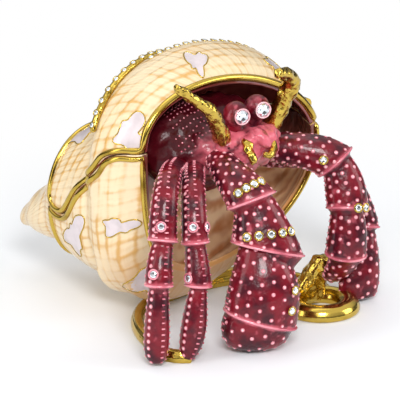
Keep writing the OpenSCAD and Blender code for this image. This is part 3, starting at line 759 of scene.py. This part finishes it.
def limb_rings(bm, side):
    """The rings of points of a limb from its upper end to the other, each starting at its side."""
    bm.normal_update()
    caps = flat_groups(bm)
    if not caps:
        raise RuntimeError("limb: no flat end found")
    first = max(caps, key=lambda g: max(v.co.z for f in g for v in f.verts))
    layer = {v for f in first for v in f.verts}
    seen, rings = set(layer), []
    while layer:
        rings.append(list(layer))
        layer = {w for v in layer for e in v.link_edges for w in e.verts} - seen
        seen |= layer
    centres = [middle_of(v.co for v in ring) for ring in rings]
    for i, ring in enumerate(rings):
        along = limb_heading(centres, i)
        across = (side - along * side.dot(along)).normalized()
        other = along.cross(across)
        start = math.pi / len(ring)

        def turn(v):
            out = v.co - centres[i]
            return (math.atan2(out.dot(other), out.dot(across)) + start) % math.tau

        ring.sort(key=turn)
    return rings, centres


def row_for(centres, a, b, share):
    """The row between a and b at this share of the way."""
    lengths = [span(centres, i) for i in range(a, b)]
    left = share * sum(lengths)
    for i, part in enumerate(lengths):
        if left <= part:
            return a + i + left / part
        left -= part
    return float(b)


class CrabLook(bpy.types.PropertyGroup):
    bead: FloatProperty(
        name="Bead", description="Radius of a bead of the enamel", default=0.33 * MM, unit="LENGTH"
    )
    pitch: FloatProperty(
        name="Pitch", description="Distance between two beads", default=2.5 * MM, unit="LENGTH"
    )
    lip: FloatProperty(
        name="Lip", description="Radius of the pink edge of a plate", default=0.3 * MM, unit="LENGTH"
    )
    blush: FloatProperty(
        name="Blush", description="Width of the rosy edge", default=1.15 * MM, unit="LENGTH"
    )


class Limb:
    """A limb with pink lips, columns of beads and ladders of bars."""

    def __init__(self, name, node, side, look):
        bm = cad_mesh(node)
        rings, self.centres = limb_rings(bm, Vector(side))
        self.loops = [[v.co.copy() for v in ring] for ring in rings]
        self.radii = [
            sum((p - c).length for p in loop) / len(loop) for loop, c in zip(self.loops, self.centres)
        ]
        self.steps = [i for i in range(1, len(rings) - 2) if self.is_step(i)]
        layer = bm.edges.layers.float.new("crease_edge")
        for i in self.steps:
            for ring, amount in zip(rings[i:i + 2], STEP_CREASES):
                members = set(ring)
                for edge in bm.edges:
                    if set(edge.verts) <= members:
                        edge[layer] = amount
        join_flat(bm, 1.0)
        self.name = name
        self.look = look
        self.made = piece(name, bm, "base", ["wine"], [node])
        subdivide(self.made, 2)
        self.tree = surface(self.made)
        self.trim = bmesh.new()
        self.rosy = []

    def is_step(self, i):
        """Whether the limb narrows at once after this ring, as it does at the lip of a plate."""
        return span(self.centres, i) < STEP_LENGTH and self.radii[i + 1] < STEP_SHARE * self.radii[i]

    def at(self, row, angle):
        """A point of the rings, between rows and angles, and the middle of its ring."""
        i = min(int(row), len(self.loops) - 2)
        count = len(self.loops[i])
        k = angle / 360 * count % count
        j = int(k)
        low, high = (loop[j].lerp(loop[(j + 1) % count], k - j) for loop in self.loops[i:i + 2])
        return low.lerp(high, row - i), self.centres[i].lerp(self.centres[i + 1], row - i)

    def on_skin(self, row, angle):
        """The same point on the rounded surface, with its normal."""
        point, middle = self.at(row, angle)
        out = (point - middle).normalized()
        found = self.tree.ray_cast(point + out * SKIN_PROBE, -out)
        if found[0] is None:
            return None
        return found[0], found[1] if found[1].dot(out) > 0 else -found[1]

    def plates(self):
        """The first and last row of each plate between two steps, with its length."""
        marks = [0] + [v for i in self.steps for v in (i, i + 1)] + [len(self.loops) - 1]
        for a, b in zip(marks[::2], marks[1::2]):
            yield a, b, sum(span(self.centres, i) for i in range(a, b))

    def add_lips(self):
        """A pink edge around each step."""
        for i in self.steps:
            path = closed_curve(self.loops[i], 4)
            near = [p.lerp(self.tree.find_nearest(p)[0], 0.8) for p in path]
            add_tube(self.trim, near, self.look.lip, closed=True)
            self.rosy += near

    def add_beads(self, angles, pitch):
        """Columns of pink beads with rosy collars, every other column shifted."""
        for a, b, length in self.plates():
            rows = max(int(length / (self.look.pitch * pitch)), 1)
            for c, angle in enumerate(angles):
                for r in range(rows):
                    share = (r + 0.5 + (0.25 if c % 2 else -0.1)) / rows
                    spot = self.on_skin(row_for(self.centres, a, b, share), angle)
                    if spot is not None:
                        add_bead(self.trim, *spot, self.look.bead, BEAD_HEIGHT, 1, 0)

    def add_ladders(self, first, others):
        """Short rosy bars side by side along the limb, in other columns on its first plate."""
        for a, b, length in self.plates():
            bars = max(int(length / BAR_PITCH), 1)
            for angle in (others if a else first):
                for r in range(bars):
                    row = row_for(self.centres, a, b, (r + 0.5) / bars)
                    spots = [self.on_skin(row, angle + turn) for turn in BAR_ANGLES]
                    if None not in spots:
                        path = [place + normal * BAR_LIFT for place, normal in spots]
                        add_tube(self.trim, path, self.look.bead * BAR_SHARE, sides=6)

    def finish(self):
        """Paints the rosy edges and keeps the trim."""
        tree = KDTree(len(self.rosy))
        for i, p in enumerate(self.rosy):
            tree.insert(p, i)
        tree.balance()
        edge = new_attribute(self.made, "edge")
        for v in self.made.data.vertices:
            edge.data[v.index].value = max(1 - tree.find(v.co)[2] / self.look.blush, 0)
        piece(self.name + "_trim", self.trim, "base", ["rose", "pink"])


class TRINKET_OT_limbs(bpy.types.Operator):
    """Builds the claws and the legs with their lips, beads and bars"""

    bl_idname = "trinket.limbs"
    bl_label = "Claws and legs"

    def execute(self, context):
        for name, node, side, beads, first, others, pitch in LIMBS:
            limb = Limb(name, node, side, context.scene.trinket_crab)
            limb.add_lips()
            limb.add_beads(beads, pitch)
            limb.add_ladders(first, others)
            limb.finish()
        return {"FINISHED"}


# Body

ROSY_START = -10 * MM
ROSY_FULL = -16 * MM
# Painted shade high on the back: the height where it starts, how far up until full, and its most
LID_SHADE_START = 26 * MM
LID_SHADE_HEIGHT = 8 * MM
LID_SHADE_MOST = 0.85
LUMP_HEIGHT = 0.7 * MM
LUMP_SCALE = 560

# Rows of small marks on the back, in mm: the first one's X and Y, the step from row to row, and the
# step along a row with its slant
DASH_ROWS = 9
DASHES_IN_ROW = 17
DASH_START = (-14, -12)
DASH_ROW_STEP = 1.05
DASH_SLANT = 0.25
DASH_STEP = 1.3
DASH_LOWEST = 40 * MM
ABOVE_ALL = 70 * MM


def paint_head(made, most=0.95):
    """Rosy towards the face, less so in the hollows, and painted shade high on the back."""
    edge = new_attribute(made, "edge")
    dark = new_attribute(made, "dark")
    for v in made.data.vertices:
        rosy = clamped((v.co.y - ROSY_START) / (ROSY_FULL - ROSY_START))
        edge.data[v.index].value = rosy * (most + 1.1 * min(noise.noise(v.co * LUMP_SCALE), 0.1))
        # Painted shade: dark high on the back, away from the face
        dark.data[v.index].value = LID_SHADE_MOST * (1 - rosy) * clamped((v.co.z - LID_SHADE_START) / LID_SHADE_HEIGHT)


def add_dashes(tree, radius):
    """Slanting rows of small marks where the back lies high enough."""
    marks = bmesh.new()
    for row in range(DASH_ROWS):
        for column in range(DASHES_IN_ROW):
            x = (DASH_START[0] + row * DASH_ROW_STEP + column * DASH_SLANT) * MM
            y = (DASH_START[1] + column * DASH_STEP) * MM
            place, normal = tree.ray_cast(Vector((x, y, ABOVE_ALL)), Vector((0, 0, -1)))[:2]
            if place is not None and place.z > DASH_LOWEST:
                add_bead(marks, place, normal, radius, 0.5)
    piece("trunk_dashes", marks, "base", ["rose"])


class TRINKET_OT_body(bpy.types.Operator):
    """Builds the body, the head, the eyes, the antennae and the mouthparts"""

    bl_idname = "trinket.body"
    bl_label = "Body and head"

    def execute(self, context):
        trunk = smooth_cad("trunk", "crab_body", "base", "wine")
        roughen(trunk, 1.2 * MM, 210)
        roughen(trunk, LUMP_HEIGHT, LUMP_SCALE)
        paint_head(trunk)
        add_dashes(surface(trunk), context.scene.trinket_crab.bead * 0.7)
        nose = smooth_cad("snout_tip", "snout", "base", "wine")
        roughen(nose, LUMP_HEIGHT, LUMP_SCALE)
        paint_head(nose)
        for side in ("right", "left"):
            eye = "eye_" + side
            bm = cad_mesh(eye)
            ball = piece("eyeball_" + side, bm, "base", ["wine"], [eye], sharp=0.6)
            paint_head(ball, 0.25)
            feeler = smooth_cad("feeler_" + side, "antenna_" + side, "base", "hammered")
            roughen(feeler, 0.45 * MM, 900, 0.15 * MM)
            palp = smooth_cad("palp_" + side, "mouthpart_" + side, "base", "gold")
            roughen(palp, 0.5 * MM, 900)
        return {"FINISHED"}


# Stones

# Width and height of a cut stone's rings, from its cup to its crown, as shares of the radius
CUP = (0.9, -0.35)
BELT = (1.0, 0.0)
CROWN = (0.8, 0.22)
TABLE_HEIGHT = 0.35
PEAK_HEIGHT = 0.30
GIRDLE_DEPTH = 0.35
COLLAR_STEPS = 20
COLLAR_RISE = 0.06
PRONG_RISE = 0.15
PRONG_RADIUS = 0.2

# Stones: CAD node, body, slot and material of the setting, prongs on each, wall of the setting as a
# share of the radius, and the cut stone's size as a share of the CAD stone's
STONES = (
    ("eye_stones", "base", "maroon_enamel", "pink", 0, 0.11, 1),
    ("claw_stones", "base", "gold", "gold", 4, 0.14, 0.95),
    ("leg_stones", "base", "maroon_enamel", "rose", 0, 0.2, 1),
    ("lid_stones", "lid", "gold", "gold", 4, 0.2, 0.7),
)


def stone_places(node):
    """Middle, axis and radius of each CAD stone of a node."""
    bm = cad_mesh(node)
    left, out = set(bm.verts), []
    while left:
        group, queue = set(), [left.pop()]
        while queue:
            v = queue.pop()
            group.add(v)
            for edge in v.link_edges:
                w = edge.other_vert(v)
                if w in left:
                    left.discard(w)
                    queue.append(w)
        areas = {}
        for face in {f for v in group for f in v.link_faces}:
            key = tuple(round(x, 2) for x in face.normal)
            areas[key] = areas.get(key, 0) + face.calc_area()
        axis = -Vector(max(areas, key=areas.get)).normalized()
        middle = middle_of(v.co for v in group)
        radius = max(((v.co - middle) - axis * (v.co - middle).dot(axis)).length for v in group)
        top = max((v.co - middle).dot(axis) for v in group)
        out.append((middle + axis * (top - GIRDLE_DEPTH * radius), axis, radius))
    bm.free()
    return out


class StoneLook(bpy.types.PropertyGroup):
    table: FloatProperty(
        name="Table", description="Share of the width that is the flat top", default=0.55, min=0.3, max=0.8
    )
    facets: IntProperty(name="Facets", description="Facets around the crown", default=8, min=5, max=16)


def add_stone(bm, girdle, axis, radius, look):
    """A cut stone above its girdle, with a short cup below."""
    turn = standing(girdle, axis)
    count = look.facets

    def point(x, y, z):
        return bm.verts.new(turn @ Vector((x * radius, y * radius, z * radius)))

    def ring(width, height, offset=0.0):
        return [point(width * x, width * y, height) for x, y in on_circle(count, offset)]

    base, belt = ring(*CUP), ring(*BELT)
    middle, table = ring(*CROWN, 0.5), ring(look.table, TABLE_HEIGHT)
    for k in range(count):
        after = (k + 1) % count
        bm.faces.new((base[k], base[after], belt[after], belt[k]))
        bm.faces.new((belt[k], belt[after], middle[k]))
        bm.faces.new((belt[after], middle[after], middle[k]))
        bm.faces.new((middle[k], table[after], table[k]))
        bm.faces.new((middle[k], middle[after], table[after]))
    peak = point(0, 0, PEAK_HEIGHT)
    for k in range(count):
        bm.faces.new((table[k], table[(k + 1) % count], peak))
    bm.faces.new(base[::-1])


def add_setting(bm, girdle, axis, radius, prongs, wall):
    """A collar around a stone, with prongs over its edge."""
    turn = standing(girdle, axis)
    wide = 1 + wall * 0.6
    path = [turn @ (Vector((x * wide, y * wide, COLLAR_RISE)) * radius) for x, y in on_circle(COLLAR_STEPS)]
    add_tube(bm, path, wall * radius, closed=True, sides=6)
    for x, y in on_circle(prongs, 0.5):
        add_bead(bm, turn @ (Vector((x, y, PRONG_RISE)) * radius), axis, PRONG_RADIUS * radius, 1.0)


class TRINKET_OT_stones(bpy.types.Operator):
    """Cuts the stones and their settings"""

    bl_idname = "trinket.stones"
    bl_label = "Stones"

    def execute(self, context):
        look = context.scene.trinket_stones
        for node, body, slot, collar, prongs, wall, share in STONES:
            stones, settings = bmesh.new(), bmesh.new()
            for middle, axis, radius in stone_places(node):
                middle -= axis * radius * (1 - share)
                add_stone(stones, middle, axis, radius * share, look)
                add_setting(settings, middle, axis, radius * share, prongs, wall)
            piece("cut_" + node, stones, body, ["crystal"], [node], smooth=False)
            piece(node + "_settings", settings, body, [collar])
        return {"FINISHED"}


# Stage

PICTURE_MIDDLE = Vector((0.34, -0.28, 23.8)) * MM
SENSOR_WIDTH = 36
FLOOR_COLOR = (0.92, 0.94, 0.97, 1)
FLOOR_HALF_WIDTH = 0.8
FLOOR_HEIGHT = -0.02 * MM

# Lamps: name, place, width and height in metres, and power in watts
LAMPS = (
    ("key", (-0.30, -0.45, 0.42), 0.20, 0.20, 2.75),
    ("fill", (0.45, -0.40, 0.25), 0.30, 0.30, 1.2),
    ("top", (0.05, 0.10, 0.60), 0.35, 0.35, 0.5),
    ("left", (-0.50, 0.05, 0.20), 0.15, 0.5, 0.8),
)


class StageLook(bpy.types.PropertyGroup):
    azimuth: FloatProperty(
        name="Azimuth",
        description="Camera angle to the crab's right",
        default=math.radians(-40),
        unit="ROTATION",
    )
    elevation: FloatProperty(
        name="Elevation",
        description="Camera angle above the ground",
        default=math.radians(20),
        unit="ROTATION",
    )
    distance: FloatProperty(name="Distance", description="Camera distance", default=1.2, unit="LENGTH")
    width: FloatProperty(
        name="Width", description="Width that fills the picture", default=90.9 * MM, unit="LENGTH"
    )


def glow(tree, kind, color, strength):
    """A new background or emission node of one colour."""
    made = tree.nodes.new(kind)
    made.inputs["Color"].default_value = color
    made.inputs["Strength"].default_value = strength
    return made


def mixed(tree, share, low, high):
    """The shader low where the share is 0, high where it is 1."""
    mix = tree.nodes.new("ShaderNodeMixShader")
    for index, socket in enumerate((share, low.outputs[0], high.outputs[0])):
        tree.links.new(socket, mix.inputs[index])
    return mix


def floor_finish():
    """Pale floor that the camera sees turn white far from the box."""
    made = Finish("floor_white", Roughness=0.6, Base_Color=FLOOR_COLOR)
    tree = made.tree
    place = made.coordinates()
    away = place.node("ShaderNodeVectorMath", {0: place}, output="Value", operation="LENGTH")
    seen = Field(tree, tree.nodes.new("ShaderNodeLightPath").outputs["Is Camera Ray"])
    white = glow(tree, "ShaderNodeEmission", grey(1), 1.0)
    mix = mixed(tree, (away.ramp(50 * MM, 120 * MM) * seen).socket, made.shader, white)
    tree.links.new(mix.outputs[0], tree.nodes["Material Output"].inputs["Surface"])
    return made.material


def add_floor():
    bm = bmesh.new()
    bmesh.ops.create_grid(bm, x_segments=1, y_segments=1, size=FLOOR_HALF_WIDTH)
    mesh = bpy.data.meshes.new("floor")
    bm.to_mesh(mesh)
    bm.free()
    ground = bpy.data.objects.new("floor", mesh)
    bpy.context.scene.collection.objects.link(ground)
    ground.location.z = FLOOR_HEIGHT
    mesh.materials.append(floor_finish())


def add_world():
    """Soft light, a white background, and in mirrors a room that is dark below."""
    world = bpy.data.worlds.new("studio")
    bpy.context.scene.world = world
    world.use_nodes = True
    tree = world.node_tree
    soft = tree.nodes["Background"]
    soft.inputs["Color"].default_value = grey(1)
    soft.inputs["Strength"].default_value = 0.5
    height = Field(tree, tree.nodes.new("ShaderNodeTexCoord").outputs["Generated"]).axis("Z")
    room = height.ramp(0.0, 0.75).blend(grey(0.03), grey(0.95))
    mirrored = tree.nodes.new("ShaderNodeBackground")
    tree.links.new(room.socket, mirrored.inputs["Color"])
    seen = glow(tree, "ShaderNodeBackground", grey(1), 1.0)
    rays = tree.nodes.new("ShaderNodeLightPath").outputs
    lit = mixed(tree, rays["Is Glossy Ray"], soft, mirrored)
    mix = mixed(tree, rays["Is Camera Ray"], lit, seen)
    tree.links.new(mix.outputs[0], tree.nodes["World Output"].inputs["Surface"])


def add_light(name, place, width, height, power):
    data = bpy.data.lights.new(name, "AREA")
    data.shape = "RECTANGLE"
    data.size = width
    data.size_y = height
    data.energy = power
    made = bpy.data.objects.new(name, data)
    bpy.context.scene.collection.objects.link(made)
    made.location = Vector(place)
    made.rotation_euler = (PICTURE_MIDDLE - Vector(place)).to_track_quat("-Z", "Y").to_euler()


def add_camera(look):
    made = bpy.data.objects.new("camera", bpy.data.cameras.new("camera"))
    bpy.context.scene.collection.objects.link(made)
    a, e = look.azimuth, look.elevation
    back = Vector((math.sin(a) * math.cos(e), -math.cos(a) * math.cos(e), math.sin(e)))
    made.location = PICTURE_MIDDLE + back * look.distance
    made.rotation_euler = back.to_track_quat("Z", "Y").to_euler()
    made.data.sensor_width = SENSOR_WIDTH
    made.data.lens = SENSOR_WIDTH * look.distance / look.width
    made.data.clip_end = 10
    bpy.context.scene.camera = made


class TRINKET_OT_stage(bpy.types.Operator):
    """Sets the floor, the lights, the background and the camera"""

    bl_idname = "trinket.stage"
    bl_label = "Stage"

    def execute(self, context):
        context.scene.view_settings.view_transform = "Standard"
        add_floor()
        add_world()
        for lamp in LAMPS:
            add_light(*lamp)
        add_camera(context.scene.trinket_stage)
        return {"FINISHED"}


LOOKS = {
    "trinket_shell": ShellLook,
    "trinket_crab": CrabLook,
    "trinket_stones": StoneLook,
    "trinket_stage": StageLook,
}
OPERATORS = (
    TRINKET_OT_shell,
    TRINKET_OT_rims,
    TRINKET_OT_limbs,
    TRINKET_OT_body,
    TRINKET_OT_stones,
    TRINKET_OT_stage,
)


class TRINKET_PT_panel(bpy.types.Panel):
    """Steps of the trinket box, in order"""

    bl_idname = "TRINKET_PT_panel"
    bl_label = "Trinket Box"
    bl_space_type = "VIEW_3D"
    bl_region_type = "UI"
    bl_category = "Trinket Box"

    def draw(self, context):
        for group, look in LOOKS.items():
            for name in look.__annotations__:
                self.layout.prop(getattr(context.scene, group), name)
        for operator in OPERATORS:
            self.layout.operator(operator.bl_idname)


def register():
    for cls in (*LOOKS.values(), *OPERATORS, TRINKET_PT_panel):
        bpy.utils.register_class(cls)
    for name, cls in LOOKS.items():
        setattr(bpy.types.Scene, name, PointerProperty(type=cls))


def unregister():
    for name in LOOKS:
        delattr(bpy.types.Scene, name)
    for cls in reversed((*LOOKS.values(), *OPERATORS, TRINKET_PT_panel)):
        bpy.utils.unregister_class(cls)


def main():
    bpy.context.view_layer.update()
    register()
    bpy.ops.trinket.shell()
    bpy.ops.trinket.rims()
    bpy.ops.trinket.limbs()
    bpy.ops.trinket.body()
    bpy.ops.trinket.stones()
    bpy.ops.trinket.stage()


if __name__ == "__main__":
    main()
